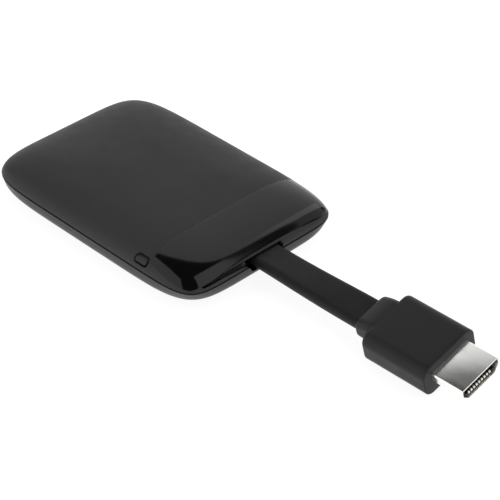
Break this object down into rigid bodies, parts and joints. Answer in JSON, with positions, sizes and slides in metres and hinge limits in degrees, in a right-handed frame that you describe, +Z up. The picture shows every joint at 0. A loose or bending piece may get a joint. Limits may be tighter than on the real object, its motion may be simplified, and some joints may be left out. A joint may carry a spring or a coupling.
{
  "type": "streaming media player",
  "caption": "Pebble-shaped black streaming media player with a gloss end panel, a side reset button and a short flat cable ending in a video plug.",
  "frame": {"origin": "middle of the housing's flat underside", "axes": "+X from the power port towards the cable and plug, +Y across the housing, +Z up"},
  "size_m": [0.1582, 0.0574, 0.014],
  "materials": {
    "satin_plastic": "satin black, fine even grain",
    "gloss_plastic": "polished black",
    "cable_jacket": "smooth satin jacket",
    "soft_moulding": "soft satin moulding",
    "dark_plastic": "black moulded plastic",
    "nickel_steel": "nickel plated sheet",
    "aluminium": "brushed",
    "gold_plate": "gold plated",
    "circuit_board": "solder mask",
    "chip_plastic": "moulded chip package",
    "pad_rubber": "soft silicone pad",
    "ferrite": "sintered ferrite",
    "pale_plastic": "natural nylon"
  },
  "bodies": {
    "housing": {"top_shell": "satin_plastic", "bottom_shell": "satin_plastic", "gloss_panel": "gloss_plastic", "cable_grommet": "dark_plastic", "cable_clamp": "dark_plastic", "reset_switch": "dark_plastic", "chip_shield": "nickel_steel", "clock_crystal": "nickel_steel", "board_screw_1": "nickel_steel", "board_screw_2": "nickel_steel", "board_screw_3": "nickel_steel", "board_screw_4": "nickel_steel", "power_port_shell": "nickel_steel", "heat_sink": "aluminium", "wifi_module": "aluminium", "wifi_antenna_near": "gold_plate", "wifi_antenna_far": "gold_plate", "main_board": "circuit_board", "system_chip": "chip_plastic", "memory_chip_1": "chip_plastic", "memory_chip_2": "chip_plastic", "storage_chip": "chip_plastic", "power_chip": "chip_plastic", "power_port_tongue": "chip_plastic", "thermal_pad": "pad_rubber", "power_inductor_1": "ferrite", "power_inductor_2": "ferrite", "cable_connector": "pale_plastic", "flat_cable": "cable_jacket"},
    "button": {"reset_button": "satin_plastic", "switch_plunger": "pale_plastic"},
    "plug": {"cable_boot": "soft_moulding", "plug_overmould": "soft_moulding", "plug_shell": "nickel_steel", "plug_insulator": "dark_plastic", "plug_board": "circuit_board", "plug_contact_upper_01": "gold_plate", "plug_contact_upper_02": "gold_plate", "plug_contact_upper_03": "gold_plate", "plug_contact_upper_04": "gold_plate", "plug_contact_upper_05": "gold_plate", "plug_contact_upper_06": "gold_plate", "plug_contact_upper_07": "gold_plate", "plug_contact_upper_08": "gold_plate", "plug_contact_upper_09": "gold_plate", "plug_contact_upper_10": "gold_plate", "plug_contact_lower_01": "gold_plate", "plug_contact_lower_02": "gold_plate", "plug_contact_lower_03": "gold_plate", "plug_contact_lower_04": "gold_plate", "plug_contact_lower_05": "gold_plate", "plug_contact_lower_06": "gold_plate", "plug_contact_lower_07": "gold_plate", "plug_contact_lower_08": "gold_plate", "plug_contact_lower_09": "gold_plate"}
  },
  "joints": [
    {"name": "reset_press", "type": "slide", "parent": "housing", "child": "button", "axis": [0, 1, 0], "range_m": [0, 0.0003], "stiffness_N_per_m": 500},
    {"name": "cable_bend", "type": "hinge", "parent": "housing", "child": "plug", "pos_m": [0.0614, 0.0004, 0.0061], "axis": [0, 1, 0], "range_deg": [-90, 90], "stiffness_Nm_per_rad": 0.08, "deforming": ["flat_cable"]}
  ]
}
